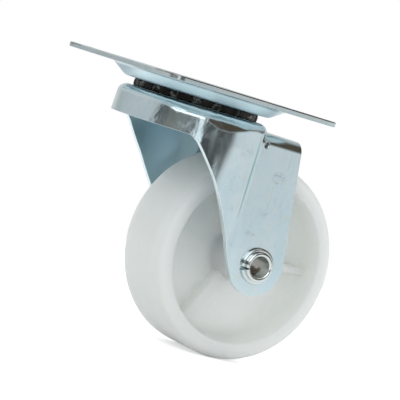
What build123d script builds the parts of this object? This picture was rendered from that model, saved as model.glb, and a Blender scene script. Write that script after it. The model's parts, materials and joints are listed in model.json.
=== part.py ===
from build123d import *
import math
import os

# A light swivel castor with a pressed steel fork and a one-piece plastic wheel, in millimetres.
# The origin is on the swivel axis, in the mounting face of the top plate.
# +Z is up, +X is the way the wheel trails and the axle lies along Y.

# Ball races of the swivel
race_clearance = 0.05
upper_ball_diameter = 6.35
upper_ball_count = 18
upper_pitch_radius = 22.0
head_gap = 2.9
lower_ball_diameter = 4.76
lower_ball_count = 16
lower_pitch_radius = 14.0
lower_gap = 2.4
cage_web = 1.2
cage_window_depth = 0.5
cage_end_gap = 0.25
cage_pocket_clearance = 0.1
first_ball_angle = -121.0

# Top plate
plate_thickness = 2.0
plate_margin_x = 4.2
plate_margin_y = 8.2
plate_corner_radius = 6.0
plate_edge_round = 0.4
bolt_inset = 9.0
bolt_hole_diameter = 8.5
dish_depth = 4.1
dish_flank = 5.9
dish_floor_lip = 1.675
dish_bend_radius = 1.4

# King pin and the lower race that it clamps under the plate
pin_diameter = 10.0
pin_head_flange = 4.0
pin_head_recess = 0.9
pin_tail_flange = 1.5
pin_tail_height = 3.4
pin_head_round = 1.4
lower_race_sheet = 2.0
lower_race_lip = 0.6
crown_lip = 2.07
crown_bend_radius = 1.0
swivel_bore_clearance = 0.9

# Fork
fork_sheet = 2.0
head_lip = 2.675
head_bend_radius = 1.6
skirt_flare = 0.4
skirt_height = 11.1
roof_drop = 2.7
roof_bend_radius = 2.2
roof_overhang = 4.0
crease_radius = 1.3
crease_fade_radius = 20.0
crease_fade_drop = 35.0
crease_fade_height = 13.0
arch_start = 12.0
arch_radius = 8.0
knee_x = 0.3
knee_drop = 25.0
knee_radius = 40.0
leg_end_radius = 12.0

# Wheel and axle
trail = 35.0
tread_clearance = 8.3
wheel_diameter = 80.0
wheel_width = 30.0
wheel_side_gap = 4.9
tread_edge_radius = 4.6
rim_thickness = 6.9
rim_draft = 1.4
rim_root_radius = 4.0
web_thickness = 4.4
hub_wall = 3.25
hub_draft = 0.5
hub_root_radius = 1.6
hub_side_clearance = 0.4
hub_bore_clearance = 0.05
rib_count = 3
rib_hub_width = 4.8
rib_rim_width = 2.2
rib_angle = 1.4
rib_recess = 7.4
rib_root = 1.5
moulded_edge_radius = 0.5
axle_diameter = 10.0
axle_wall = 0.75
axle_seat_clearance = 0.02
sleeve_wall = 1.0
collar_width = 2.15
collar_flange = 1.4
collar_lip_width = 0.85
collar_height = 2.9
seam_width = 0.3
seam_notch_width = 1.8
seam_angle = -163.0

# Radii and widths that follow from the sizes above
upper_track_radius = upper_ball_diameter / 2 + race_clearance
lower_track_radius = lower_ball_diameter / 2 + race_clearance
pocket_radius = upper_ball_diameter / 2 + cage_pocket_clearance
cage_outer_radius = upper_pitch_radius + upper_ball_diameter / 2 - cage_window_depth
cage_inner_radius = upper_pitch_radius - pocket_radius - cage_web
dish_floor_radius = upper_pitch_radius + upper_track_radius + plate_thickness + dish_floor_lip
dish_rim_radius = dish_floor_radius + dish_flank
plate_width = 2 * (dish_rim_radius + plate_margin_x)
plate_length = 2 * (dish_rim_radius + plate_margin_y)
crown_radius = lower_pitch_radius - lower_track_radius - crown_lip
lower_race_radius = lower_pitch_radius + lower_track_radius + lower_race_sheet + lower_race_lip
head_radius = upper_pitch_radius + upper_track_radius + fork_sheet + head_lip
leg_inner_half_width = wheel_width / 2 + wheel_side_gap
leg_half_width = leg_inner_half_width + fork_sheet
sleeve_radius = axle_diameter / 2 + sleeve_wall
bore_radius = sleeve_radius + hub_bore_clearance
hub_radius = bore_radius + hub_wall
rim_inner_radius = wheel_diameter / 2 - rim_thickness
collar_radius = axle_diameter / 2 + collar_width
collar_lip_radius = axle_diameter / 2 + collar_lip_width

# Heights that follow from the sizes above
dish_floor_z = -plate_thickness - dish_depth
head_top_z = dish_floor_z - head_gap
upper_ball_z = dish_floor_z - head_gap / 2
head_under_z = head_top_z - fork_sheet
lower_ball_z = head_under_z - lower_gap / 2
lower_race_z = head_under_z - lower_gap
roof_top_z = head_top_z - roof_drop
skirt_bottom_z = head_top_z - skirt_height
knee_z = head_top_z - knee_drop
fade_top_z = head_top_z - crease_fade_drop
fade_bottom_z = fade_top_z - crease_fade_height
axle_z = roof_top_z - fork_sheet - tread_clearance - wheel_diameter / 2
axle_line = Axis((trail, 0, axle_z), (0, 1, 0))


def ball_track(pitch_radius, track_z, track_radius):
    """Ring of round section that the balls of one race sweep, with their clearance."""
    with BuildPart() as track:
        with BuildSketch(Plane.XZ):
            with Locations((pitch_radius, track_z)):
                Circle(track_radius)
        revolve(axis=Axis.Z)
    return track.part


def pressed_ring(pitch_radius, track_z, track_radius, sheet, face_z, direction):
    """Sheet that bulges round a ball track, kept on one side of the face it is pressed from."""
    reach = track_radius + sheet
    with BuildPart() as ring:
        with BuildSketch(Plane.XZ):
            with Locations((pitch_radius, track_z)):
                Circle(reach)
            with Locations((pitch_radius, face_z + direction * reach)):
                Rectangle(2 * reach, 2 * reach, mode=Mode.INTERSECT)
        revolve(axis=Axis.Z)
    return ring.part


def make_ball(diameter, pitch_radius, height, angle):
    """One steel ball at its place in a race."""
    turn = math.radians(angle)
    with BuildPart() as ball:
        with Locations((pitch_radius * math.cos(turn), pitch_radius * math.sin(turn), height)):
            Sphere(diameter / 2)
    return ball.part


def write(part, name):
    """Label a finished piece and write it to its own file."""
    part.label = name
    export_step(part, f"parts/{name}.step")


os.makedirs("parts", exist_ok=True)

upper_track = ball_track(upper_pitch_radius, upper_ball_z, upper_track_radius)
lower_track = ball_track(lower_pitch_radius, lower_ball_z, lower_track_radius)

# Top plate: a flat sheet with rounded corners and a dish pressed down round the swivel
dish_slope = math.atan2(dish_depth, dish_rim_radius - dish_floor_radius)
dish_shift = plate_thickness * math.tan(dish_slope / 2)
dish_seam_radius = dish_rim_radius + dish_bend_radius + plate_thickness
plate_ring = pressed_ring(
    upper_pitch_radius, upper_ball_z, upper_track_radius, plate_thickness, dish_floor_z, 1
)
with BuildPart() as top_plate:
    with BuildSketch(Plane.XY.offset(-plate_thickness)):
        RectangleRounded(plate_width, plate_length, plate_corner_radius)
    extrude(amount=plate_thickness)
    rim_edges = top_plate.edges().filter_by(Axis.Z, reverse=True)
    fillet(rim_edges, radius=plate_edge_round)
    with BuildSketch(Plane.XY.offset(-plate_thickness)):
        Circle(dish_seam_radius)
    extrude(amount=plate_thickness, mode=Mode.SUBTRACT)
    with BuildSketch(Plane.XZ) as dish_section:
        with BuildLine():
            Polyline(
                (pin_diameter / 2, dish_floor_z + plate_thickness),
                (dish_floor_radius - dish_shift, dish_floor_z + plate_thickness),
                (dish_rim_radius - dish_shift, 0),
                (dish_seam_radius, 0),
                (dish_seam_radius, -plate_thickness),
                (dish_rim_radius, -plate_thickness),
                (dish_floor_radius, dish_floor_z),
                (pin_diameter / 2, dish_floor_z),
                close=True,
            )
        make_face()
        tight_bends = [
            (dish_floor_radius - dish_shift, dish_floor_z + plate_thickness),
            (dish_rim_radius, -plate_thickness),
        ]
        for place in tight_bends:
            fillet(dish_section.vertices().sort_by_distance(place)[0], radius=dish_bend_radius)
        wide_bends = [(dish_rim_radius - dish_shift, 0), (dish_floor_radius, dish_floor_z)]
        for place in wide_bends:
            corner = dish_section.vertices().sort_by_distance(place)[0]
            fillet(corner, radius=dish_bend_radius + plate_thickness)
    revolve(axis=Axis.Z)
    add(plate_ring)
    add(upper_track, mode=Mode.SUBTRACT)
    with BuildSketch(Plane.XY):
        with GridLocations(plate_width - 2 * bolt_inset, plate_length - 2 * bolt_inset, 2, 2):
            Circle(bolt_hole_diameter / 2)
    extrude(amount=-plate_thickness - dish_depth, mode=Mode.SUBTRACT)
write(top_plate.part, "top_plate")

# Lower race: a cup drawn up round the king pin, with a flange that carries the lower balls
race_ring = pressed_ring(
    lower_pitch_radius, lower_ball_z, lower_track_radius, lower_race_sheet, lower_race_z, -1
)
crown_under_z = dish_floor_z - lower_race_sheet
with BuildPart() as lower_race:
    with BuildSketch(Plane.XZ) as cup_section:
        with BuildLine():
            Polyline(
                (pin_diameter / 2, dish_floor_z),
                (crown_radius, dish_floor_z),
                (crown_radius, lower_race_z),
                (lower_race_radius, lower_race_z),
                (lower_race_radius, lower_race_z - lower_race_sheet),
                (crown_radius - lower_race_sheet, lower_race_z - lower_race_sheet),
                (crown_radius - lower_race_sheet, crown_under_z),
                (pin_diameter / 2, crown_under_z),
                close=True,
            )
        make_face()
        cup_bends = [(crown_radius, dish_floor_z), (crown_radius, lower_race_z)]
        for place in cup_bends:
            fillet(cup_section.vertices().sort_by_distance(place)[0], radius=crown_bend_radius)
    revolve(axis=Axis.Z)
    add(race_ring)
    add(lower_track, mode=Mode.SUBTRACT)
write(lower_race.part, "lower_race")

# King pin: a rivet headed in the dish and closed over under the crown of the lower race
pin_head_radius = pin_diameter / 2 + pin_head_flange
pin_head_z = -pin_head_recess
pin_tail_radius = pin_diameter / 2 + pin_tail_flange
pin_tail_z = crown_under_z - pin_tail_height
with BuildPart() as king_pin:
    with BuildSketch(Plane.XZ) as pin_section:
        with BuildLine():
            Polyline(
                (0, pin_head_z),
                (pin_head_radius, pin_head_z),
                (pin_head_radius, dish_floor_z + plate_thickness),
                (pin_diameter / 2, dish_floor_z + plate_thickness),
                (pin_diameter / 2, crown_under_z),
                (pin_tail_radius, crown_under_z),
                (pin_tail_radius, pin_tail_z),
                (0, pin_tail_z),
                close=True,
            )
        make_face()
        for place in [(pin_head_radius, pin_head_z), (pin_tail_radius, pin_tail_z)]:
            fillet(pin_section.vertices().sort_by_distance(place)[0], radius=pin_head_round)
    revolve(axis=Axis.Z)
write(king_pin.part, "king_pin")

# Upper balls and the ring that spaces them, open at the rim so that the balls show
with BuildPart() as upper_cage:
    with BuildSketch(Plane.XY.offset(head_top_z + cage_end_gap)):
        Circle(cage_outer_radius)
        Circle(cage_inner_radius, mode=Mode.SUBTRACT)
        with PolarLocations(upper_pitch_radius, upper_ball_count, start_angle=first_ball_angle):
            Circle(pocket_radius, mode=Mode.SUBTRACT)
    extrude(amount=head_gap - 2 * cage_end_gap)
write(upper_cage.part, "upper_ball_cage")

for index in range(upper_ball_count):
    ball_angle = first_ball_angle + index * 360 / upper_ball_count
    upper_ball = make_ball(upper_ball_diameter, upper_pitch_radius, upper_ball_z, ball_angle)
    write(upper_ball, f"upper_ball_{index + 1:02d}")

for index in range(lower_ball_count):
    ball_angle = first_ball_angle + index * 360 / lower_ball_count
    lower_ball = make_ball(lower_ball_diameter, lower_pitch_radius, lower_ball_z, ball_angle)
    write(lower_ball, f"lower_ball_{index + 1:02d}")

# Fork: one sheet drawn into a round head with a skirt, a lower roof behind it and two flat legs
form_end = trail + 2 * leg_end_radius
form_bottom = axle_z - 2 * leg_end_radius


def leg_outline(inset, bend):
    """Plan of one face of the sheet at the legs: round in front, flat at the sides, bent between."""
    half_width = leg_half_width - inset
    round_radius = head_radius + skirt_flare - inset
    outer_bend = bend + inset
    bend_x = math.sqrt((round_radius + outer_bend) ** 2 - (half_width + outer_bend) ** 2)
    share = round_radius / (round_radius + outer_bend)
    touch_x = bend_x * share
    touch_y = (half_width + outer_bend) * share
    with BuildSketch() as outline:
        with BuildLine():
            Line((form_end, -half_width), (bend_x, -half_width))
            TangentArc((bend_x, -half_width), (touch_x, -touch_y), tangent=(-1, 0))
            ThreePointArc((touch_x, -touch_y), (-round_radius, 0), (touch_x, touch_y))
            TangentArc((bend_x, half_width), (touch_x, touch_y), tangent=(-1, 0))
            Line((bend_x, half_width), (form_end, half_width))
            Line((form_end, half_width), (form_end, -half_width))
        make_face()
    return outline.sketch


def fork_form(inset):
    """Solid inside one face of the fork's sheet; an inset of the sheet gives the other face."""
    skirt_radius = head_radius + skirt_flare
    front_plane = Plane(origin=(0, 0, 0), x_dir=(-1, 0, 0), z_dir=(0, 1, 0))
    with BuildPart() as form:
        with BuildSketch(front_plane) as head_section:
            with BuildLine():
                Polyline(
                    (0, head_top_z - inset),
                    (head_radius - inset, head_top_z - inset),
                    (skirt_radius - inset, skirt_bottom_z),
                    (skirt_radius - inset, form_bottom),
                    (0, form_bottom),
                    close=True,
                )
            make_face()
            head_corner = (head_radius - inset, head_top_z - inset)
            corner = head_section.vertices().sort_by_distance(head_corner)[0]
            fillet(corner, radius=head_bend_radius + fork_sheet - inset)
        revolve(axis=Axis.Z)
        with BuildSketch(Plane.YZ) as leg_section:
            with Locations((0, (roof_top_z - inset + form_bottom) / 2)):
                Rectangle(2 * (leg_half_width - inset), roof_top_z - inset - form_bottom)
            roof_corners = leg_section.vertices().group_by(Axis.Y)[-1]
            fillet(roof_corners, radius=roof_bend_radius + fork_sheet - inset)
        extrude(amount=form_end)
        head_reach = skirt_radius + crease_radius
        creases = form.edges().filter_by(
            lambda edge: edge.bounding_box().max.Z > form_bottom + 1
            and edge.bounding_box().min.X > 1
            and edge.bounding_box().max.X < head_reach
        )
        fillet(creases, radius=crease_radius + inset)
        split(bisect_by=Plane.XY.offset(fade_top_z), keep=Keep.TOP)
        with BuildSketch(Plane.XY.offset(fade_top_z)):
            add(leg_outline(inset, crease_radius))
        with BuildSketch(Plane.XY.offset(fade_bottom_z)):
            add(leg_outline(inset, crease_fade_radius))
        loft(ruled=True)
        with BuildSketch(Plane.XY.offset(form_bottom)):
            add(leg_outline(inset, crease_fade_radius))
        extrude(amount=fade_bottom_z - form_bottom)
    return form.part


def tangent_point(start, radius, side):
    """Where a line from start touches the round end of the leg, on the side given by the sign."""
    along = trail - start[0]
    across = axle_z - start[1]
    distance = math.hypot(along, across)
    turn = math.atan2(across, along) + side * math.asin(radius / distance)
    reach = math.sqrt(distance**2 - radius**2)
    return (start[0] + reach * math.cos(turn), start[1] + reach * math.sin(turn))


outer_form = fork_form(0)
inner_form = fork_form(fork_sheet)
head_ring = pressed_ring(
    upper_pitch_radius, upper_ball_z, upper_track_radius, fork_sheet, head_top_z, -1
)
under_ring = pressed_ring(
    lower_pitch_radius, lower_ball_z, lower_track_radius, fork_sheet, head_under_z, 1
)
front_x = -head_radius - 2 * skirt_flare
knee = (knee_x, knee_z)
roof_end = (trail + roof_overhang, roof_top_z)
front_touch = tangent_point(knee, leg_end_radius, -1)
rear_touch = tangent_point(roof_end, leg_end_radius, 1)
with BuildPart() as fork:
    add(outer_form)
    add(inner_form, mode=Mode.SUBTRACT)
    with BuildSketch(Plane.XZ):
        with BuildLine():
            FilletPolyline(
                (front_x, skirt_bottom_z),
                (-arch_start, skirt_bottom_z),
                knee,
                front_touch,
                radius=[arch_radius, knee_radius],
            )
            ThreePointArc(front_touch, (trail, axle_z - leg_end_radius), rear_touch)
            Polyline(rear_touch, roof_end, (roof_end[0], 0), (front_x, 0), (front_x, skirt_bottom_z))
        make_face()
    extrude(amount=head_radius + 2 * skirt_flare, both=True, mode=Mode.INTERSECT)
    add(head_ring)
    add(under_ring)
    add(upper_track, mode=Mode.SUBTRACT)
    add(lower_track, mode=Mode.SUBTRACT)
    with BuildSketch(Plane.XY.offset(head_under_z - head_gap)):
        Circle(crown_radius + swivel_bore_clearance)
    extrude(amount=fork_sheet + 2 * head_gap, mode=Mode.SUBTRACT)
    with BuildSketch(Plane.XZ):
        with Locations((trail, axle_z)):
            Circle(axle_diameter / 2 + axle_seat_clearance)
    extrude(amount=leg_half_width * 2, both=True, mode=Mode.SUBTRACT)
write(fork.part, "fork")

# Axle: a rolled tube with a seam, its ends curled out over the legs into two-step collars
axle_plane = Plane(origin=(trail, 0, axle_z), x_dir=(0, 1, 0), z_dir=(1, 0, 0))
collar_end = leg_half_width + collar_height
with BuildPart() as axle_tube:
    with BuildSketch(axle_plane):
        with BuildLine():
            Polyline(
                (0, axle_diameter / 2 - axle_wall),
                (collar_end, axle_diameter / 2 - axle_wall),
                (collar_end, collar_lip_radius),
                (leg_half_width + collar_flange, collar_lip_radius),
                (leg_half_width + collar_flange, collar_radius),
                (leg_half_width, collar_radius),
                (leg_half_width, axle_diameter / 2),
                (0, axle_diameter / 2),
                close=True,
            )
        make_face()
    revolve(axis=axle_line)
    lips = axle_tube.edges().filter_by(GeomType.CIRCLE).group_by(Axis.Y)[-1]
    fillet(lips, radius=(collar_height - collar_flange) / 2)
    rims = axle_tube.edges().filter_by(GeomType.CIRCLE).filter_by(
        lambda edge: abs(edge.radius - collar_radius) < 0.01
    )
    fillet(rims.sort_by(Axis.Y)[-1], radius=collar_flange / 2)
    mirror(about=Plane.XZ)
    with BuildSketch(Plane.XZ):
        with Locations(Location((trail, axle_z), seam_angle)):
            with Locations((collar_radius / 2, 0)):
                Rectangle(collar_radius, seam_width)
            Polygon(
                (axle_diameter / 2 - axle_wall, 0),
                (collar_radius, seam_notch_width / 2),
                (collar_radius, -seam_notch_width / 2),
                align=None,
            )
    extrude(amount=collar_end, both=True, mode=Mode.SUBTRACT)
write(axle_tube.part, "axle_tube")

# Axle sleeve: a spacer between the legs that the hub turns on
with BuildPart() as axle_sleeve:
    with BuildSketch(Plane.XZ):
        with Locations((trail, axle_z)):
            Circle(sleeve_radius)
            Circle(axle_diameter / 2 + axle_seat_clearance, mode=Mode.SUBTRACT)
    extrude(amount=leg_inner_half_width, both=True)
write(axle_sleeve.part, "axle_sleeve")

# Wheel: tread, web, ribs and hub moulded in one
hub_half_length = leg_inner_half_width - hub_side_clearance
with BuildPart() as wheel:
    with BuildSketch(axle_plane) as wheel_section:
        with BuildLine():
            Polyline(
                (0, bore_radius),
                (hub_half_length, bore_radius),
                (hub_half_length, hub_radius - hub_draft),
                (web_thickness / 2, hub_radius),
                (web_thickness / 2, rim_inner_radius - rim_draft),
                (wheel_width / 2, rim_inner_radius),
                (wheel_width / 2, wheel_diameter / 2),
                (0, wheel_diameter / 2),
                close=True,
            )
        make_face()
        wheel_rounds = [
            (web_thickness / 2, hub_radius, hub_root_radius),
            (web_thickness / 2, rim_inner_radius - rim_draft, rim_root_radius),
            (wheel_width / 2, rim_inner_radius, moulded_edge_radius),
            (wheel_width / 2, wheel_diameter / 2, tread_edge_radius),
            (hub_half_length, hub_radius - hub_draft, moulded_edge_radius),
        ]
        for across, out, radius in wheel_rounds:
            corner = wheel_section.vertices().sort_by_distance((across, out))[0]
            fillet(corner, radius=radius)
    revolve(axis=axle_line)
    rib_start = hub_radius - rib_root
    rib_length = rim_inner_radius + rib_root - rib_start
    with BuildSketch(Plane.XZ):
        with Locations((trail, axle_z)):
            with PolarLocations(rib_start, rib_count, start_angle=rib_angle):
                Polygon(
                    (0, rib_hub_width / 2),
                    (rib_length, rib_rim_width / 2),
                    (rib_length, -rib_rim_width / 2),
                    (0, -rib_hub_width / 2),
                    align=None,
                )
    extrude(amount=wheel_width / 2 - rib_recess)
    rib_face = wheel.faces(Select.LAST).sort_by(Axis.Y)[0]
    rib_edges = wheel.edges().filter_by(GeomType.LINE).filter_by(
        lambda edge: abs(edge.center().Y - rib_face.center().Y) < 0.01
    )
    fillet(rib_edges, radius=moulded_edge_radius)
    mirror(about=Plane.XZ)
write(wheel.part, "wheel")
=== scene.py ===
import bpy
import json
import math
from mathutils import Matrix, Vector

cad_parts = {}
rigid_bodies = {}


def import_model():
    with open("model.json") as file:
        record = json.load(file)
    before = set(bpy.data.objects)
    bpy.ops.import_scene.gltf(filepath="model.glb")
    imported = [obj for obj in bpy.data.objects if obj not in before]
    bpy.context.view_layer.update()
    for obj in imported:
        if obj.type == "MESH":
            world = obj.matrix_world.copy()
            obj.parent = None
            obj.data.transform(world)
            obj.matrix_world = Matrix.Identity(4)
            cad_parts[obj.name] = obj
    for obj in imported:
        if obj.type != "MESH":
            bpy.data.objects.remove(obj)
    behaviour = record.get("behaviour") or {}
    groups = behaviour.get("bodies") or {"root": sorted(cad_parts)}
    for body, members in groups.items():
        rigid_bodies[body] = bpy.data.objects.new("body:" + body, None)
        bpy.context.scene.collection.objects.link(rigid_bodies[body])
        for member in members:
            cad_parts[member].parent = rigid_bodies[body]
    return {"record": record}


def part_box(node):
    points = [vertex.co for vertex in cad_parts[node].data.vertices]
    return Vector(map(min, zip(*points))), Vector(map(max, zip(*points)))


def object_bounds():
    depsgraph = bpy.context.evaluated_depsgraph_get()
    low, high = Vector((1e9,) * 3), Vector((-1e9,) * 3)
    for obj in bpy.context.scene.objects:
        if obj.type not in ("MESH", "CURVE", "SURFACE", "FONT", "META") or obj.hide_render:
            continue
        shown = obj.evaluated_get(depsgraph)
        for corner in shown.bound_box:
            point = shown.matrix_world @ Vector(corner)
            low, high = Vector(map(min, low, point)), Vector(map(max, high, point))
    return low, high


# A swivel castor seen from its front left, level with its plate, and tilted in the picture.
# Metres; +Z is up, the fork trails towards +X and the axle lies along Y.

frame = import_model()
cad_box = [list(corner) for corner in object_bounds()]

# Places that the finishes follow
tube_low, tube_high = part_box("axle_tube")
wheel_low, wheel_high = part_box("wheel")
axle_middle = (Vector(tube_low) + Vector(tube_high)) / 2
collar_end = tube_high[1]
wheel_radius = (wheel_high[0] - wheel_low[0]) / 2
axle_bore_radius = 0.00425


# Camera: the photograph's viewing angle
camera_azimuth = math.radians(-32.23)
camera_elevation = math.radians(2.97)
camera_roll = math.radians(17.09)
camera_distance = 0.9
camera_target = Vector((0, 0, -0.045))
camera_side_step = 0.01294
camera_rise = 0.00104
camera_lens = 209.9
camera_sensor = 36
camera_near = 0.01


def place_camera():
    back = Vector((
        math.sin(camera_azimuth) * math.cos(camera_elevation),
        -math.cos(camera_azimuth) * math.cos(camera_elevation),
        math.sin(camera_elevation),
    ))
    right = Vector((math.cos(camera_azimuth), math.sin(camera_azimuth), 0))
    up = back.cross(right)
    place = camera_target + back * camera_distance + right * camera_side_step + up * camera_rise
    turned_right = right * math.cos(camera_roll) + up * math.sin(camera_roll)
    turned_up = up * math.cos(camera_roll) - right * math.sin(camera_roll)
    axes = Matrix((turned_right, turned_up, back)).transposed()
    camera = bpy.data.objects.new("camera", bpy.data.cameras.new("camera"))
    bpy.context.scene.collection.objects.link(camera)
    camera.matrix_world = Matrix.Translation(place) @ axes.to_4x4()
    camera.data.sensor_width = camera_sensor
    camera.data.lens = camera_lens
    camera.data.clip_start = camera_near
    bpy.context.scene.camera = camera


place_camera()
bpy.context.scene.view_settings.view_transform = "Standard"


# Helpers for node trees. An input is a value, or the output that feeds it. A span is the pair
# of values between which something fades in.
def set_input(tree, node, socket, value):
    if isinstance(value, bpy.types.NodeSocket):
        tree.links.new(value, node.inputs[socket])
    else:
        node.inputs[socket].default_value = value


def add_node(tree, kind, inputs=None, **settings):
    node = tree.nodes.new(kind)
    for name, value in settings.items():
        setattr(node, name, value)
    for socket, value in (inputs or {}).items():
        set_input(tree, node, socket, value)
    return node


def combine(tree, operation, first, second=0.0, third=0.0, clamp=False):
    node = add_node(
        tree, "ShaderNodeMath", {0: first, 1: second, 2: third},
        operation=operation, use_clamp=clamp,
    )
    return node.outputs[0]


def product(tree, first, *others):
    for other in others:
        first = combine(tree, "MULTIPLY", first, other)
    return first


def raised(tree, value, mask, amount, clamp=False):
    """A value with a share of a mask added to it."""
    return combine(tree, "ADD", value, product(tree, mask, amount), clamp=clamp)


def rest_of(tree, mask):
    return combine(tree, "SUBTRACT", 1.0, mask)


def ease(tree, value, span, shape="SMOOTHSTEP"):
    node = add_node(
        tree, "ShaderNodeMapRange", {"Value": value, "From Min": span[0], "From Max": span[1]},
        interpolation_type=shape,
    )
    return node.outputs["Result"]


def blend_colors(tree, share, first, second):
    node = add_node(tree, "ShaderNodeMix", {0: share}, data_type="RGBA")
    for socket, color in ((6, first), (7, second)):
        set_input(tree, node, socket, (*color, 1) if isinstance(color, tuple) else color)
    return node.outputs[2]


def tinted(tree, color, mask, share, tint):
    """A colour with a tint laid over it where the mask is."""
    return blend_colors(tree, product(tree, mask, share), color, tint)


def noise(tree, place, scale, detail=2.0, roughness=0.5, distortion=0.0):
    node = add_node(tree, "ShaderNodeTexNoise", {
        "Vector": place, "Scale": scale, "Detail": detail, "Roughness": roughness,
        "Distortion": distortion,
    })
    return node.outputs["Fac"]


def set_turned(tree, place, middle=(0, 0, 0), turn=(0, 0, 0), scale=(1, 1, 1)):
    node = add_node(tree, "ShaderNodeMapping", {
        "Vector": place, "Location": middle, "Rotation": turn, "Scale": scale,
    })
    return node.outputs[0]


def stretched_noise(tree, place, scale, detail=2.0, roughness=0.5, distortion=0.0):
    """Noise drawn out along the axes that have the smaller scale."""
    return noise(tree, set_turned(tree, place, scale=scale), 1.0, detail, roughness, distortion)


def parts_of(tree, vector):
    return add_node(tree, "ShaderNodeSeparateXYZ", {0: vector}).outputs


def tone_ramp(tree, value, stops):
    node = add_node(tree, "ShaderNodeValToRGB", {"Fac": value})
    ramp = node.color_ramp
    while len(ramp.elements) < len(stops):
        ramp.elements.new(0.5)
    for element, (position, tone) in zip(ramp.elements, stops):
        element.position = position
        element.color = (*tone, 1) if isinstance(tone, tuple) else (tone, tone, tone, 1)
    return node.outputs["Color"]


def seen_directly(tree, ray):
    return combine(
        tree, "MAXIMUM", ray.outputs["Is Camera Ray"], ray.outputs["Is Transmission Ray"]
    )


# Studio: a white room for the camera. The metal also mirrors its walls, which have a dim end and
# dark flags low down, a ledge above them, and a soft box and a brown band above that.
# Tones stand at compass headings in degrees: 0 is +X and 90 is +Y.
dim_end = (0.235, 0.220, 0.190)
soft_box = 2.4
dark_flag = (0.020, 0.019, 0.016)
brown_band = (0.10, 0.070, 0.045)
ceiling = (0.95, 0.97, 1.0)
wall_tones = [
    (-180, 0.74), (-173, 0.64), (-168, 0.12), (-162, 0.12), (-158, dim_end), (-128, dim_end),
    (-123, 0.07), (-116, 0.14), (-112, 0.38), (-108, 1.5), (-101, 1.5), (-95, 0.08), (-86, 0.06),
    (-80, dark_flag), (-68, dark_flag), (-62, 0.72), (-58, 0.90), (-54, 1.00), (35, 0.90),
    (85, 0.80), (105, 0.58), (128, 0.70), (180, 0.73),
]
ledge_tones = [
    (-180, 0.74), (-170, 0.60), (-162, 0.09), (-116, 0.09), (-108, 0.9), (-100, 0.50),
    (-75, 0.48), (-66, 0.42), (-40, 0.42), (-20, 0.60), (180, 0.74),
]
upper_tones = [
    (-180, 0.80), (-168, 0.65), (-157, 0.40), (-150, soft_box), (-103, soft_box),
    (-95, brown_band), (-20, brown_band), (25, 0.60), (60, 0.85), (180, 0.80),
]
ledge_heights = (0.06, 0.11)
upper_heights = (0.13, 0.21)
ceiling_heights = (0.80, 0.93)
fill_tint = (0.96, 0.99, 1.0, 1)
fill_strength = 0.86
white = (1, 1, 1, 1)


def tones_around(tree, turn, tones):
    return tone_ramp(tree, turn, [((heading + 180) / 360, tone) for heading, tone in tones])


def light_the_room():
    world = bpy.data.worlds.new("studio")
    bpy.context.scene.world = world
    world.use_nodes = True
    tree = world.node_tree
    tree.nodes.clear()
    direction = parts_of(tree, add_node(tree, "ShaderNodeTexCoord").outputs["Generated"])
    heading = combine(tree, "ARCTAN2", direction["Y"], direction["X"])
    turn = combine(tree, "MULTIPLY_ADD", heading, 0.5 / math.pi, 0.5)
    wall, ledge, upper = (
        tones_around(tree, turn, tones) for tones in (wall_tones, ledge_tones, upper_tones)
    )
    height = direction["Z"]
    room = blend_colors(tree, ease(tree, height, ledge_heights), wall, ledge)
    room = blend_colors(tree, ease(tree, height, upper_heights), room, upper)
    room = blend_colors(tree, ease(tree, height, ceiling_heights), room, ceiling)
    mirrored_room = add_node(tree, "ShaderNodeBackground", {"Color": room})
    soft_fill = add_node(tree, "ShaderNodeBackground", {
        "Color": fill_tint, "Strength": fill_strength,
    })
    white_wall = add_node(tree, "ShaderNodeBackground", {"Color": white})
    ray = add_node(tree, "ShaderNodeLightPath")
    unseen = add_node(tree, "ShaderNodeMixShader", {
        0: ray.outputs["Is Glossy Ray"], 1: soft_fill.outputs[0], 2: mirrored_room.outputs[0],
    })
    every_ray = add_node(tree, "ShaderNodeMixShader", {
        0: seen_directly(tree, ray), 1: unseen.outputs[0], 2: white_wall.outputs[0],
    })
    add_node(tree, "ShaderNodeOutputWorld", {"Surface": every_ray.outputs[0]})


light_the_room()


def soft_lamp(name, place, aim, width, power, tint):
    lamp = bpy.data.lights.new(name, "AREA")
    lamp.shape = "DISK"
    lamp.size = width
    lamp.energy = power
    lamp.color = tint
    holder = bpy.data.objects.new(name, lamp)
    bpy.context.scene.collection.objects.link(holder)
    holder.location = place
    holder.rotation_euler = (Vector(aim) - Vector(place)).to_track_quat("-Z", "Y").to_euler()
    holder.visible_glossy = False


soft_lamp(
    "key_lamp", place=(-0.70, -0.70, 0.45), aim=(0.01, 0, -0.05), width=0.6, power=0.15,
    tint=(1, 0.99, 0.97),
)
soft_lamp(
    "low_lamp", place=(0.60, -0.75, -0.02), aim=(0.02, 0, -0.06), width=0.5, power=0.20,
    tint=(1, 0.985, 0.96),
)


# Floor: white to the camera, so that only the soft shadow under the wheel shows on it
floor_white = (0.93, 0.93, 0.93, 1)
floor_glow = 0.55
floor_mirrored_glow = 0.38
floor_width = 0.8
floor_gap = 0.0002


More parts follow.
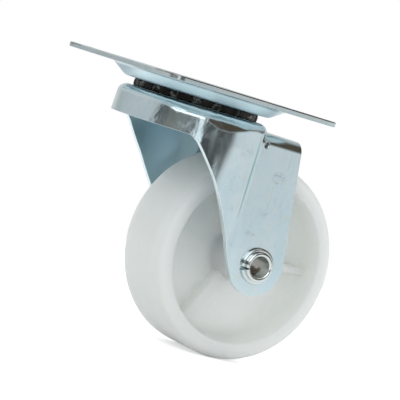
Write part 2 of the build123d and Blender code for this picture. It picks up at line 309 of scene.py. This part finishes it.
def lay_floor():
    bpy.ops.object.select_all(action="DESELECT")
    floor_height = cad_box[0][2] - floor_gap
    bpy.ops.mesh.primitive_plane_add(size=floor_width, location=(0, 0, floor_height))
    floor = bpy.context.object
    floor.name = "floor"
    paint = bpy.data.materials.new("floor_paint")
    paint.use_nodes = True
    tree = paint.node_tree
    tree.nodes.clear()
    matt = add_node(tree, "ShaderNodeBsdfDiffuse", {"Color": floor_white})
    ray = add_node(tree, "ShaderNodeLightPath")
    seen_glow = product(tree, seen_directly(tree, ray), floor_glow)
    glow = add_node(tree, "ShaderNodeEmission", {
        "Color": white,
        "Strength": raised(tree, seen_glow, ray.outputs["Is Glossy Ray"], floor_mirrored_glow),
    })
    both = add_node(tree, "ShaderNodeAddShader", {0: matt.outputs[0], 1: glow.outputs[0]})
    add_node(tree, "ShaderNodeOutputMaterial", {"Surface": both.outputs[0]})
    floor.data.materials.append(paint)


lay_floor()


# Effects that several finishes share
def start_effect(name, inputs, outputs):
    tree = bpy.data.node_groups.new(name, "ShaderNodeTree")
    for socket, (kind, value) in inputs.items():
        entry = tree.interface.new_socket(name=socket, in_out="INPUT", socket_type=kind)
        if value is not None:
            entry.default_value = value
    for socket, kind in outputs.items():
        tree.interface.new_socket(name=socket, in_out="OUTPUT", socket_type=kind)
    return tree, add_node(tree, "NodeGroupInput").outputs


def make_worn_edge():
    """Rounds sharp edges in the shading and marks where they are."""
    edge_span = (0.03, 0.22)
    tree, given = start_effect(
        "worn_edge", {"Round": ("NodeSocketFloat", 0.0003)},
        {"Normal": "NodeSocketVector", "Edge": "NodeSocketFloat"},
    )
    rounded = add_node(tree, "ShaderNodeBevel", {"Radius": given["Round"]}, samples=6)
    surface = add_node(tree, "ShaderNodeNewGeometry")
    agreement = add_node(
        tree, "ShaderNodeVectorMath", {0: rounded.outputs[0], 1: surface.outputs["Normal"]},
        operation="DOT_PRODUCT",
    )
    apart = rest_of(tree, agreement.outputs["Value"])
    add_node(tree, "NodeGroupOutput", {
        "Normal": rounded.outputs[0], "Edge": ease(tree, apart, edge_span),
    })
    return tree


def make_cloudy_plating():
    """Colour of bright zinc: cool clouds, a few paler blooms and faint warm stains."""
    cloud_scale, grain_scale, grain_share = 75.0, 420.0, 0.35
    haze_span = (0.48, 0.92)
    stain_scale, stain_shift, stain_span = 130.0, (0.31, 0.17, 0.08), (0.56, 0.74)
    tree, given = start_effect(
        "cloudy_plating",
        {
            "Place": ("NodeSocketVector", None),
            "Cool": ("NodeSocketColor", (0.52, 0.66, 0.73, 1)),
            "Pale": ("NodeSocketColor", (0.64, 0.73, 0.77, 1)),
            "Warm": ("NodeSocketColor", (0.62, 0.60, 0.46, 1)),
            "Stain": ("NodeSocketFloat", 0.3),
        },
        {"Color": "NodeSocketColor", "Haze": "NodeSocketFloat"},
    )
    clouds = noise(tree, given["Place"], cloud_scale, detail=3.0, distortion=0.6)
    grain = noise(tree, given["Place"], grain_scale, detail=4.0, roughness=0.6)
    haze = ease(tree, raised(tree, clouds, grain, grain_share), haze_span)
    cooled = blend_colors(tree, haze, given["Cool"], given["Pale"])
    shifted = set_turned(tree, given["Place"], middle=stain_shift)
    stains = ease(tree, noise(tree, shifted, stain_scale, detail=3.0, distortion=1.2), stain_span)
    warmed = tinted(tree, cooled, stains, given["Stain"], given["Warm"])
    add_node(tree, "NodeGroupOutput", {"Color": warmed, "Haze": haze})
    return tree


def make_hairlines():
    """Sparse short scratches that run two ways."""
    patch_scale, patch_span = 95.0, (0.42, 0.62)
    directions = (((0.2, 0.9, 0.1), 2100.0), ((-0.5, -0.55, 0.4), 2700.0))
    length, line_span = 22, (0.64, 0.70)
    tree, given = start_effect(
        "hairlines",
        {"Place": ("NodeSocketVector", None), "Amount": ("NodeSocketFloat", 0.5)},
        {"Mask": "NodeSocketFloat"},
    )
    patches = ease(tree, noise(tree, given["Place"], patch_scale), patch_span)
    lines = []
    for turn, across in directions:
        turned = set_turned(
            tree, given["Place"], turn=turn, scale=(across, across, across / length)
        )
        lines.append(ease(tree, noise(tree, turned, 1.0, detail=1.0), line_span))
    mask = product(tree, combine(tree, "MAXIMUM", *lines), patches)
    add_node(tree, "NodeGroupOutput", {
        "Mask": combine(tree, "MULTIPLY", mask, given["Amount"], clamp=True),
    })
    return tree


def make_pits():
    """Clusters of small dark pits and nicks."""
    size_scale, size_share, rim_span = 900.0, 0.50, (0.0, 0.10)
    cluster_scale, cluster_span = 120.0, (0.55, 0.66)
    tree, given = start_effect(
        "pits",
        {
            "Place": ("NodeSocketVector", None),
            "Spacing": ("NodeSocketFloat", 620.0),
            "Amount": ("NodeSocketFloat", 1.0),
        },
        {"Mask": "NodeSocketFloat"},
    )
    cells = add_node(tree, "ShaderNodeTexVoronoi", {
        "Vector": given["Place"], "Scale": given["Spacing"],
    })
    size = product(tree, noise(tree, given["Place"], size_scale), size_share)
    dots = ease(tree, combine(tree, "SUBTRACT", size, cells.outputs["Distance"]), rim_span)
    clusters = ease(tree, noise(tree, given["Place"], cluster_scale, detail=3.0), cluster_span)
    mask = product(tree, dots, clusters)
    add_node(tree, "NodeGroupOutput", {
        "Mask": combine(tree, "MULTIPLY", mask, given["Amount"], clamp=True),
    })
    return tree


def make_grime_and_corner_shade():
    """Darker in corners and hollows, in patches: painted shade there, mixed with a thin oily film.
    """
    patch_scale, patch_span = 260.0, (0.30, 0.62)
    tree, given = start_effect(
        "grime_and_corner_shade",
        {
            "Place": ("NodeSocketVector", None),
            "Reach": ("NodeSocketFloat", 0.003),
            "Amount": ("NodeSocketFloat", 0.5),
        },
        {"Mask": "NodeSocketFloat"},
    )
    open_sky = add_node(
        tree, "ShaderNodeAmbientOcclusion", {"Distance": given["Reach"]}, samples=6
    )
    corner = rest_of(tree, open_sky.outputs["AO"])
    patches = ease(tree, noise(tree, given["Place"], patch_scale, detail=4.0), patch_span)
    mask = product(tree, corner, patches)
    add_node(tree, "NodeGroupOutput", {
        "Mask": combine(tree, "MULTIPLY", mask, given["Amount"], clamp=True),
    })
    return tree


worn_edge = make_worn_edge()
cloudy_plating = make_cloudy_plating()
hairlines = make_hairlines()
pits = make_pits()
grime_and_corner_shade = make_grime_and_corner_shade()


# Parts that every finish is made of
def effect(tree, group, inputs):
    return add_node(tree, "ShaderNodeGroup", inputs, node_tree=group).outputs


def set_sockets(tree, shader, sockets):
    for socket, value in sockets.items():
        set_input(tree, shader, socket, value)


def start_finish(name):
    finish = bpy.data.materials.new(name)
    finish.use_nodes = True
    tree = finish.node_tree
    place = add_node(tree, "ShaderNodeTexCoord").outputs["Object"]
    return finish, tree, tree.nodes["Principled BSDF"], place


def bump(tree, height, normal=None):
    inputs = {"Height": height, "Distance": 1.0, "Strength": 1.0}
    if normal is not None:
        inputs["Normal"] = normal
    return add_node(tree, "ShaderNodeBump", inputs).outputs[0]


# Zinc plated sheet: rolling grain, cloudy plating, hairlines, pits and rubbed edges
rubbed_zinc = (0.80, 0.84, 0.86)
scratched_zinc = (0.42, 0.47, 0.50)
pitted_zinc = (0.13, 0.14, 0.14)
oily_dirt_and_shade = (0.10, 0.09, 0.075)
edge_round, edge_share = 0.00028, 0.55
scratch_amount, scratch_share, pit_share = 0.8, 0.35, 0.75
haze_roughness, grain_roughness, dirt_roughness = 0.06, 0.04, 0.25
grain_height, scratch_depth, pit_depth = 0.0000045, 0.000006, 0.00003


def zinc_finish(name, cool, pale, stain, grain_scale, roughness, pit_amount, film, extra=None):
    finish, tree, shader, place = start_finish(name)
    plating = effect(tree, cloudy_plating, {
        "Place": place, "Cool": (*cool, 1), "Pale": (*pale, 1), "Stain": stain,
    })
    scratch = effect(tree, hairlines, {"Place": place, "Amount": scratch_amount})["Mask"]
    pit = effect(tree, pits, {"Place": place, "Amount": pit_amount})["Mask"]
    dirt_and_shade = effect(tree, grime_and_corner_shade, {"Place": place, "Amount": film})["Mask"]
    edge = effect(tree, worn_edge, {"Round": edge_round})
    grain = stretched_noise(tree, place, grain_scale, detail=3.0, roughness=0.6)
    color = tinted(tree, plating["Color"], edge["Edge"], edge_share, rubbed_zinc)
    color = tinted(tree, color, scratch, scratch_share, scratched_zinc)
    color = tinted(tree, color, pit, pit_share, pitted_zinc)
    # Darker in corners: painted shade, mixed with an oily film; film sets how much.
    color = blend_colors(tree, dirt_and_shade, color, oily_dirt_and_shade)
    rough = combine(tree, "MULTIPLY_ADD", plating["Haze"], haze_roughness, roughness)
    rough = raised(tree, rough, grain, grain_roughness)
    rough = raised(tree, rough, dirt_and_shade, dirt_roughness, clamp=True)
    relief = product(tree, grain, grain_height)
    relief = raised(tree, relief, scratch, -scratch_depth)
    relief = raised(tree, relief, pit, -pit_depth)
    normal = edge["Normal"]
    if extra:
        color, rough, relief, normal = extra(tree, place, color, rough, relief, normal)
    set_sockets(tree, shader, {
        "Base Color": color, "Metallic": 1.0, "Roughness": rough,
        "Normal": bump(tree, relief, normal),
    })
    return finish


def turned_normal(tree, normal, start, end, kind="NORMAL"):
    """A normal taken from the room's directions to the part's own, or back."""
    node = add_node(
        tree, "ShaderNodeVectorTransform", {0: normal},
        vector_type=kind, convert_from=start, convert_to=end,
    )
    return node.outputs[0]


def own_normal(tree):
    """The surface's normal in the part's own directions, so that a mask turns with its part."""
    normal = add_node(tree, "ShaderNodeNewGeometry").outputs["Normal"]
    return parts_of(tree, turned_normal(tree, normal, "WORLD", "OBJECT"))


def spot(tree, parts, place, size):
    """Soft round mark on the fork's sides, at a place given along and up."""
    along = combine(tree, "DIVIDE", combine(tree, "SUBTRACT", parts["X"], place[0]), size[0])
    up = combine(tree, "DIVIDE", combine(tree, "SUBTRACT", parts["Z"], place[1]), size[1])
    reach = combine(tree, "ADD", product(tree, along, along), product(tree, up, up))
    return ease(tree, reach, (1.0, 0.0))


# Faces of the fork, by how squarely they look along the axle, and where the legs begin
inner_span = (-0.05, -0.3)
outer_span = (0.5, 0.7)
edge_on_span = (0.5, 0.3)
below_roof = (-0.0185, -0.0200)
past_skirt = (-0.0125, -0.0115)


def fork_faces(tree, parts):
    """Masks of the faces that look at the wheel, of the sheared edges and of the outer faces."""
    across = own_normal(tree)["Y"]
    facing = product(tree, across, combine(tree, "SIGN", parts["Y"]))
    cut = product(
        tree, ease(tree, combine(tree, "ABSOLUTE", across), edge_on_span),
        ease(tree, parts["Z"], below_roof), ease(tree, parts["X"], past_skirt),
    )
    return ease(tree, facing, inner_span), cut, ease(tree, facing, outer_span)


# Marks on the fork's sides: the place along X and up Z, and then the size
pinch = ((0.0232, -0.0158), (0.0013, 0.0017))
pinch_share, pinch_depth, pinch_dark = 0.85, 0.0004, (0.06, 0.06, 0.055)
crease = ((0.0189, -0.0290), (0.0011, 0.0210))
crease_share, crease_green = 0.90, (0.24, 0.43, 0.43)
nicks = (
    ((0.0312, -0.0420), (0.0026, 0.0022)), ((0.0193, -0.0430), (0.0014, 0.0028)),
    ((0.0329, -0.0270), (0.0040, 0.0030)), ((0.0148, -0.0205), (0.0016, 0.0016)),
    ((0.0212, -0.0251), (0.0012, 0.0014)), ((0.0110, -0.0212), (0.0040, 0.0026)),
    ((0.0084, -0.0347), (0.0012, 0.0018)), ((0.0275, -0.0505), (0.0024, 0.0016)),
)
nick_scale, nick_span = (2900, 2900, 2100), (0.58, 0.70)
nick_cluster_span, near_leg = (0.05, 0.45), (0.0, -0.01)
nick_share, nick_depth, nick_dark = 0.4, 0.00002, (0.20, 0.25, 0.27)
inner_share, inner_shade_blue, inner_roughness = 0.75, (0.31, 0.49, 0.57), 0.20
cut_share, cut_painted_highlight, cut_roughness = 0.8, (0.80, 0.86, 0.88), 0.30


def nick_mask(tree, place, parts, outside):
    """Fine nicks in clusters on the near leg's outer face."""
    clusters = 0.0
    for nick in nicks:
        clusters = combine(tree, "MAXIMUM", clusters, spot(tree, parts, *nick))
    near_side = ease(tree, parts["Y"], near_leg)
    clusters = product(tree, clusters, near_side, outside)
    specks = ease(tree, stretched_noise(tree, place, nick_scale, detail=1.0), nick_span)
    return product(tree, ease(tree, clusters, nick_cluster_span), specks)


# Waver and dents of the drawn skirt, which the flat legs are almost free of
waver_scale, waver_height, flat_waver_height = (120.0, 120.0, 50.0), 0.00043, 0.00002
dent_scale, dent_height = (280.0, 280.0, 170.0), 0.00014
flat_begins = (-0.005, 0.000)


def draw_marks(tree, place, parts, relief):
    flat = ease(tree, parts["X"], flat_begins)
    waver = stretched_noise(tree, place, waver_scale, detail=2.5, distortion=0.4)
    height = combine(
        tree, "MULTIPLY_ADD", flat, flat_waver_height - waver_height, waver_height
    )
    relief = raised(tree, relief, waver, height)
    dents = stretched_noise(tree, place, dent_scale, detail=2.0, distortion=0.8)
    return raised(tree, relief, product(tree, dents, rest_of(tree, flat)), dent_height)


# Where the sheet leans out of true: a twist at the front edge of each leg, a bend beside the
# crease and a shoulder under the head. Spans run along X, heights up Z.
twist_heights, twist_lean = (-0.045, -0.0185), -0.150
twist_spans = ((-0.009, -0.003), (0.0118, 0.0022))
bend_spans, bend_lean = ((0.013, 0.0195), (0.0215, 0.0206)), -0.28
shoulder_spans, shoulder_lift = ((0.020, 0.012), (-0.025, -0.017)), 0.24
shoulder_foot, shoulder_top = (-0.0138, -0.0118), (-0.0090, -0.0112)
shoulder_slant, shoulder_drop, shoulder_drop_span = 0.24, 0.0019, (-0.011, -0.004)
flattened_heights, flattening = (-0.042, -0.050), 6.0


def leaning_normal(tree, parts, outside, normal):
    along, up = parts["X"], parts["Z"]
    lean = product(
        tree, ease(tree, up, twist_heights, shape="LINEAR"),
        product(tree, *(ease(tree, along, span) for span in twist_spans)), twist_lean,
    )
    beside_crease = product(tree, *(ease(tree, along, span) for span in bend_spans))
    lean = raised(tree, lean, beside_crease, bend_lean)
    foot = combine(
        tree, "SUBTRACT", up, product(tree, combine(tree, "MAXIMUM", along, 0.0), shoulder_slant)
    )
    foot = raised(tree, foot, ease(tree, along, shoulder_drop_span), shoulder_drop)
    shoulder = product(
        tree, ease(tree, foot, shoulder_foot), ease(tree, up, shoulder_top),
        *(ease(tree, along, span) for span in shoulder_spans),
    )
    flattened = product(
        tree, ease(tree, up, flattened_heights), outside, combine(tree, "SIGN", parts["Y"]),
        flattening,
    )
    leaning = add_node(tree, "ShaderNodeCombineXYZ", {
        "X": lean, "Y": flattened, "Z": product(tree, shoulder, shoulder_lift),
    })
    leaning = turned_normal(tree, leaning.outputs[0], "OBJECT", "WORLD", "VECTOR")
    leaned = add_node(tree, "ShaderNodeVectorMath", {0: normal, 1: leaning}, operation="ADD")
    return add_node(
        tree, "ShaderNodeVectorMath", {0: leaned.outputs[0]}, operation="NORMALIZE"
    ).outputs[0]


# What the press tool left on the fork: a pinch where crease and roof meet, nicks, a wavering skirt
# and the sheet's slight twist. A darker teal line also runs along the crease.
def press_marks(tree, place, color, rough, relief, normal):
    parts = parts_of(tree, place)
    inside, cut, outside = fork_faces(tree, parts)
    pinched = spot(tree, parts, *pinch)
    creased = product(tree, spot(tree, parts, *crease), crease_share)
    nicked = nick_mask(tree, place, parts, outside)
    color = tinted(tree, color, pinched, pinch_share, pinch_dark)
    # The faces that look at the wheel are tinted a darker blue: painted shade inside the fork.
    color = tinted(tree, color, inside, inner_share, inner_shade_blue)
    # The sheared edges of the legs are tinted pale: a painted highlight where the edge catches
    # light.
    color = tinted(tree, color, cut, cut_share, cut_painted_highlight)
    # A darker teal line along the crease.
    color = tinted(tree, color, creased, outside, crease_green)
    color = tinted(tree, color, nicked, nick_share, nick_dark)
    rough = raised(tree, rough, inside, inner_roughness)
    rough = raised(tree, rough, cut, cut_roughness)
    relief = raised(tree, relief, nicked, -nick_depth)
    relief = raised(tree, relief, pinched, -pinch_depth)
    relief = draw_marks(tree, place, parts, relief)
    return color, rough, relief, leaning_normal(tree, parts, outside, normal)


zinc_fork = zinc_finish(
    "zinc_fork", cool=(0.50, 0.625, 0.675), pale=(0.57, 0.67, 0.70), stain=0.25,
    grain_scale=(900, 900, 260), roughness=0.13, pit_amount=0.25, film=0.2, extra=press_marks,
)


# The plate's sheared edge: a brown painted reflection along the top of its front, a smear near its
# left end and dark teal painted shade below. The dish under the plate is duller, with painted
# light on its right and painted shade on its left.
side_span = (0.9, 0.7)
top_reflection_heights, top_reflection_side, top_reflection_brown = (-0.0007, -0.0003), (-0.028, -0.034), (0.15, 0.11, 0.08)
top_reflection_break_scale, top_reflection_break_span, top_reflection_breaks, top_reflection_least = 160.0, (0.35, 0.6), 0.35, 0.5
smear_end, smear_side, smear_grey = (-0.0375, -0.0385), (0.015, 0.022), (0.20, 0.21, 0.20)
smear_scale, smear_span, smear_share = (160, 160, 700), (0.50, 0.38), 0.55
underside_shade_heights, underside_shade_share, underside_shade_teal = (-0.0015, -0.0018), 0.6, (0.13, 0.22, 0.24)
dish_heights, dish_share, dish_roughness = (-0.0021, -0.0030), 0.9, 0.20
dish_painted_light, dish_painted_shade = (0.76, 0.90, 0.95), (0.26, 0.36, 0.41)
shade_along, shade_across, shade_span = 0.846, -0.533, (-0.020, -0.030)


def sheared_edge(tree, place, color, rough, relief, normal):
    parts = parts_of(tree, place)
    side = ease(tree, combine(tree, "ABSOLUTE", own_normal(tree)["Z"]), side_span)
    broken = ease(tree, noise(tree, place, top_reflection_break_scale), top_reflection_break_span)
    broken = combine(tree, "MULTIPLY_ADD", broken, top_reflection_breaks, top_reflection_least)
    # A broken brown line along the top of the front edge: a painted reflection of the room's brown
    # band.
    top_reflection = product(
        tree, ease(tree, parts["Z"], top_reflection_heights), ease(tree, parts["Y"], top_reflection_side), side, broken
    )
    color = blend_colors(tree, top_reflection, color, top_reflection_brown)
    scrape = ease(tree, stretched_noise(tree, place, smear_scale, detail=1.0), smear_span)
    smear = product(
        tree, ease(tree, parts["X"], smear_end), ease(tree, parts["Y"], smear_side), side, scrape
    )
    color = tinted(tree, color, smear, smear_share, smear_grey)
    # Dark teal along the bottom of the edge: painted shade under the plate.
    underside_shade = product(tree, ease(tree, parts["Z"], underside_shade_heights), side)
    color = tinted(tree, color, underside_shade, underside_shade_share, underside_shade_teal)
    # The dish is painted bright on its right and darker on its left: painted light and shade.
    sideways = raised(tree, product(tree, parts["X"], shade_along), parts["Y"], shade_across)
    dish_shading = ease(tree, sideways, shade_span)
    dish = ease(tree, parts["Z"], dish_heights)
    dish_color = blend_colors(tree, dish_shading, dish_painted_light, dish_painted_shade)
    color = tinted(tree, color, dish, dish_share, dish_color)
    return color, raised(tree, rough, dish, dish_roughness), relief, normal


zinc_plate = zinc_finish(
    "zinc_plate", cool=(0.48, 0.57, 0.60), pale=(0.58, 0.65, 0.67), stain=0.30,
    grain_scale=(1400, 160, 1400), roughness=0.17, pit_amount=0.6, film=0.2, extra=sheared_edge,
)
zinc_race = zinc_finish(
    "zinc_race", cool=(0.44, 0.52, 0.56), pale=(0.56, 0.62, 0.64), stain=0.6,
    grain_scale=(700, 700, 700), roughness=0.22, pit_amount=0.6, film=0.9,
)
zinc_rivet = zinc_finish(
    "zinc_rivet", cool=(0.54, 0.61, 0.64), pale=(0.68, 0.74, 0.76), stain=0.5,
    grain_scale=(1100, 1100, 500), roughness=0.22, pit_amount=0.8, film=0.6,
)


def from_axle(tree, place):
    """Place measured from the axle's middle, and its distance from the axle."""
    centred = set_turned(tree, place, middle=tuple(-axle_middle))
    parts = parts_of(tree, centred)
    squares = [product(tree, parts[side], parts[side]) for side in ("X", "Z")]
    return centred, combine(tree, "SQRT", combine(tree, "ADD", *squares))


# Bright zinc of the rolled axle: turned rings on the collars, oily and brown inside the bore
collar_dark, collar_pale = (0.50, 0.56, 0.57), (0.68, 0.72, 0.72)
collar_rubbed, collar_scratched = (0.88, 0.9, 0.9), (0.3, 0.32, 0.33)
collar_dirt_and_shade, collar_dirt_and_shade_reach, collar_dirt_and_shade_amount = (0.07, 0.065, 0.055), 0.001, 0.5
collar_cloud_scale, collar_edge_round, collar_edge_share = 320.0, 0.0002, 0.5
collar_scratch_amount, collar_scratch_share, collar_scratch_depth = 0.9, 0.5, 0.000004
collar_roughness, ring_roughness, collar_dirt_roughness = 0.045, 0.05, 0.2
ring_scale, ring_height = (60, 5200, 60), 0.0000025
bore_span = (axle_bore_radius + 0.0004, axle_bore_radius + 0.0001)
bore_floor_span, bore_floor_waver, bore_waver_scale = (0.0012, 0.0002), 0.003, 500.0
bore_mouth, bore_upper, bore_floor = (0.84, 0.90, 0.86), (1.0, 1.0, 0.98), (0.22, 0.17, 0.13)
bore_far, bore_far_span = (1.0, 1.0, 0.99), (-0.012, -0.009)
bore_deep_span = (0.0045, 0.0065)
bore_roughness, bore_dulling = 0.09, 0.35


def bore_color(tree, place, parts):
    """Pale and green at the mouth, brown on the floor further in, and clean beyond."""
    waver = noise(tree, place, bore_waver_scale)
    floor_share = ease(tree, raised(tree, parts["Z"], waver, bore_floor_waver), bore_floor_span)
    depth = combine(tree, "SUBTRACT", collar_end, combine(tree, "ABSOLUTE", parts["Y"]))
    color = blend_colors(tree, floor_share, bore_upper, bore_floor)
    color = blend_colors(tree, ease(tree, depth, bore_deep_span), bore_mouth, color)
    return blend_colors(tree, ease(tree, parts["Y"], bore_far_span), color, bore_far)


def bright_axle_finish():
    finish, tree, shader, place = start_finish("bright_zinc")
    centred, radius = from_axle(tree, place)
    bore = ease(tree, radius, bore_span)
    edge = effect(tree, worn_edge, {"Round": collar_edge_round})
    scratch = effect(tree, hairlines, {
        "Place": place, "Amount": collar_scratch_amount,
    })["Mask"]
    dirt_and_shade = effect(tree, grime_and_corner_shade, {
        "Place": place, "Amount": collar_dirt_and_shade_amount, "Reach": collar_dirt_and_shade_reach,
    })["Mask"]
    rings = product(tree, stretched_noise(tree, place, ring_scale), rest_of(tree, bore))
    cloud = noise(tree, place, collar_cloud_scale, detail=3.0)
    color = blend_colors(tree, cloud, collar_dark, collar_pale)
    color = tinted(tree, color, edge["Edge"], collar_edge_share, collar_rubbed)
    color = tinted(tree, color, scratch, collar_scratch_share, collar_scratched)
    # Darker in the collar's corners: painted shade, mixed with an oily film.
    color = blend_colors(tree, dirt_and_shade, color, collar_dirt_and_shade)
    color = blend_colors(tree, bore, color, bore_color(tree, place, parts_of(tree, centred)))
    rough = combine(tree, "MULTIPLY_ADD", rings, ring_roughness, collar_roughness)
    rough = raised(tree, rough, dirt_and_shade, collar_dirt_roughness, clamp=True)
    rough = raised(tree, rough, bore, bore_roughness)
    relief = product(tree, rings, ring_height)
    relief = raised(tree, relief, scratch, -collar_scratch_depth)
    set_sockets(tree, shader, {
        "Base Color": color, "Metallic": rest_of(tree, product(tree, bore, bore_dulling)),
        "Roughness": rough, "Normal": bump(tree, relief, edge["Normal"]),
    })
    return finish


bright_zinc = bright_axle_finish()


# Plain drawn steel of the sleeve, with a film of oil
steel_dark, steel_pale, oil_brown = (0.42, 0.42, 0.42), (0.62, 0.62, 0.61), (0.24, 0.20, 0.15)
oil_scale, oil_span, oil_share = 240.0, (0.42, 0.68), 0.5
drawn_scale, drawn_height = (1500, 90, 1500), 0.000008
drawn_roughness, steel_roughness = 0.18, 0.22


def sleeve_finish():
    finish, tree, shader, place = start_finish("steel_sleeve")
    drawn = stretched_noise(tree, place, drawn_scale, detail=3.0)
    oil = ease(tree, noise(tree, place, oil_scale, detail=3.0), oil_span)
    color = blend_colors(tree, drawn, steel_dark, steel_pale)
    set_sockets(tree, shader, {
        "Base Color": tinted(tree, color, oil, oil_share, oil_brown), "Metallic": 1.0,
        "Roughness": combine(tree, "MULTIPLY_ADD", drawn, drawn_roughness, steel_roughness),
        "Normal": bump(tree, product(tree, drawn, drawn_height)),
    })
    return finish


steel_sleeve = sleeve_finish()


# White nylon of the wheel: slightly translucent and satin, with turned lines and a duller skin
# on the tread, scuffs, specks, and corners greyed by painted shade mixed with a dusty film
nylon_tones = ((0.845, 0.865, 0.835), (0.880, 0.890, 0.860))
tread_tones = ((0.765, 0.787, 0.767), (0.805, 0.818, 0.797))
tread_span = (wheel_radius - 0.0025, wheel_radius - 0.0008)
scuff_grey, scuff_share, scuff_roughness = (0.50, 0.52, 0.51), 0.10, 0.15
speck_grey, speck_share, speck_spacing, speck_amount = (0.42, 0.42, 0.40), 0.30, 900.0, 0.5
dust_and_shade_grey, dust_and_shade_reach, dust_and_shade_amount = (0.46, 0.48, 0.46), 0.004, 0.25
turned_scale, turned_height = (25, 2600, 25), 0.000007
skin_scale, skin_height, scuff_depth = 2600.0, 0.0000035, 0.000008
nylon_cloud_scale, nylon_edge_round = 70.0, 0.0004
nylon_roughness, cloud_roughness = 0.34, 0.14
nylon_ior, nylon_glow_scale, nylon_glow = 1.5, 0.016, (1.0, 1.0, 0.95)


def nylon_finish():
    finish, tree, shader, place = start_finish("white_nylon")
    centred, radius = from_axle(tree, place)
    tread = ease(tree, radius, tread_span)
    cloud = noise(tree, place, nylon_cloud_scale, detail=3.0, distortion=0.5)
    color = blend_colors(
        tree, tread, blend_colors(tree, cloud, *nylon_tones),
        blend_colors(tree, cloud, *tread_tones),
    )
    scuff = effect(tree, hairlines, {"Place": place, "Amount": 1.0})["Mask"]
    speck = effect(tree, pits, {
        "Place": place, "Spacing": speck_spacing, "Amount": speck_amount,
    })["Mask"]
    dust_and_shade = effect(tree, grime_and_corner_shade, {
        "Place": place, "Amount": dust_and_shade_amount, "Reach": dust_and_shade_reach,
    })["Mask"]
    edge = effect(tree, worn_edge, {"Round": nylon_edge_round})
    color = tinted(tree, color, scuff, scuff_share, scuff_grey)
    color = tinted(tree, color, speck, speck_share, speck_grey)
    # Greyer in corners: painted shade, mixed with a dusty film.
    color = blend_colors(tree, dust_and_shade, color, dust_and_shade_grey)
    turned = stretched_noise(tree, centred, turned_scale)
    relief = product(tree, turned, tread, turned_height)
    relief = raised(tree, relief, noise(tree, place, skin_scale), skin_height)
    relief = raised(tree, relief, scuff, -scuff_depth)
    rough = combine(tree, "MULTIPLY_ADD", cloud, cloud_roughness, nylon_roughness)
    set_sockets(tree, shader, {
        "Base Color": color, "Roughness": raised(tree, rough, scuff, scuff_roughness, clamp=True),
        "Normal": bump(tree, relief, edge["Normal"]), "IOR": nylon_ior,
        "Subsurface Weight": 1.0, "Subsurface Scale": nylon_glow_scale,
        "Subsurface Radius": nylon_glow,
    })
    return finish


white_nylon = nylon_finish()


# Black plastic ring, shiny where the grease has smeared over it
cage_tones = ((0.007, 0.007, 0.008), (0.014, 0.012, 0.009))
cage_roughness, greased_gloss = 0.52, -0.22
grease_scale, grease_span = 300.0, (0.40, 0.66)
lump_scale, lump_height = 900.0, 0.00006
cage_specular = 0.12


def cage_finish():
    finish, tree, shader, place = start_finish("black_cage")
    greased = noise(tree, place, grease_scale, detail=4.0, distortion=0.8)
    greased = ease(tree, greased, grease_span)
    lumps = noise(tree, place, lump_scale, detail=3.0)
    set_sockets(tree, shader, {
        "Base Color": blend_colors(tree, greased, *cage_tones),
        "Roughness": combine(tree, "MULTIPLY_ADD", greased, greased_gloss, cage_roughness),
        "Normal": bump(tree, product(tree, lumps, greased, lump_height)),
        "Specular IOR Level": cage_specular,
    })
    return finish


black_cage = cage_finish()


# Steel balls under a brown film of grease
ball_tones = ((0.100, 0.100, 0.094), (0.016, 0.015, 0.013))
ball_roughness, film_roughness = 0.16, 0.20
film_scale, film_span, film_height = 420.0, (0.34, 0.56), 0.00003


def ball_finish():
    finish, tree, shader, place = start_finish("ball_steel")
    film = ease(tree, noise(tree, place, film_scale, detail=4.0, distortion=0.6), film_span)
    set_sockets(tree, shader, {
        "Base Color": blend_colors(tree, film, *ball_tones), "Metallic": 1.0,
        "Roughness": combine(tree, "MULTIPLY_ADD", film, film_roughness, ball_roughness),
        "Normal": bump(tree, product(tree, film, film_height)),
    })
    return finish


ball_steel = ball_finish()


# Each CAD node takes the finish of its material slot
finishes = {
    "zinc_fork": zinc_fork, "zinc_plate": zinc_plate, "zinc_race": zinc_race,
    "zinc_rivet": zinc_rivet, "bright_zinc": bright_zinc, "steel_sleeve": steel_sleeve,
    "white_nylon": white_nylon, "black_cage": black_cage, "ball_steel": ball_steel,
}
for part in frame["record"]["subparts"]:
    for slot in bpy.data.objects[part["node"]].material_slots:
        slot.material = finishes[part["material_slot"]]
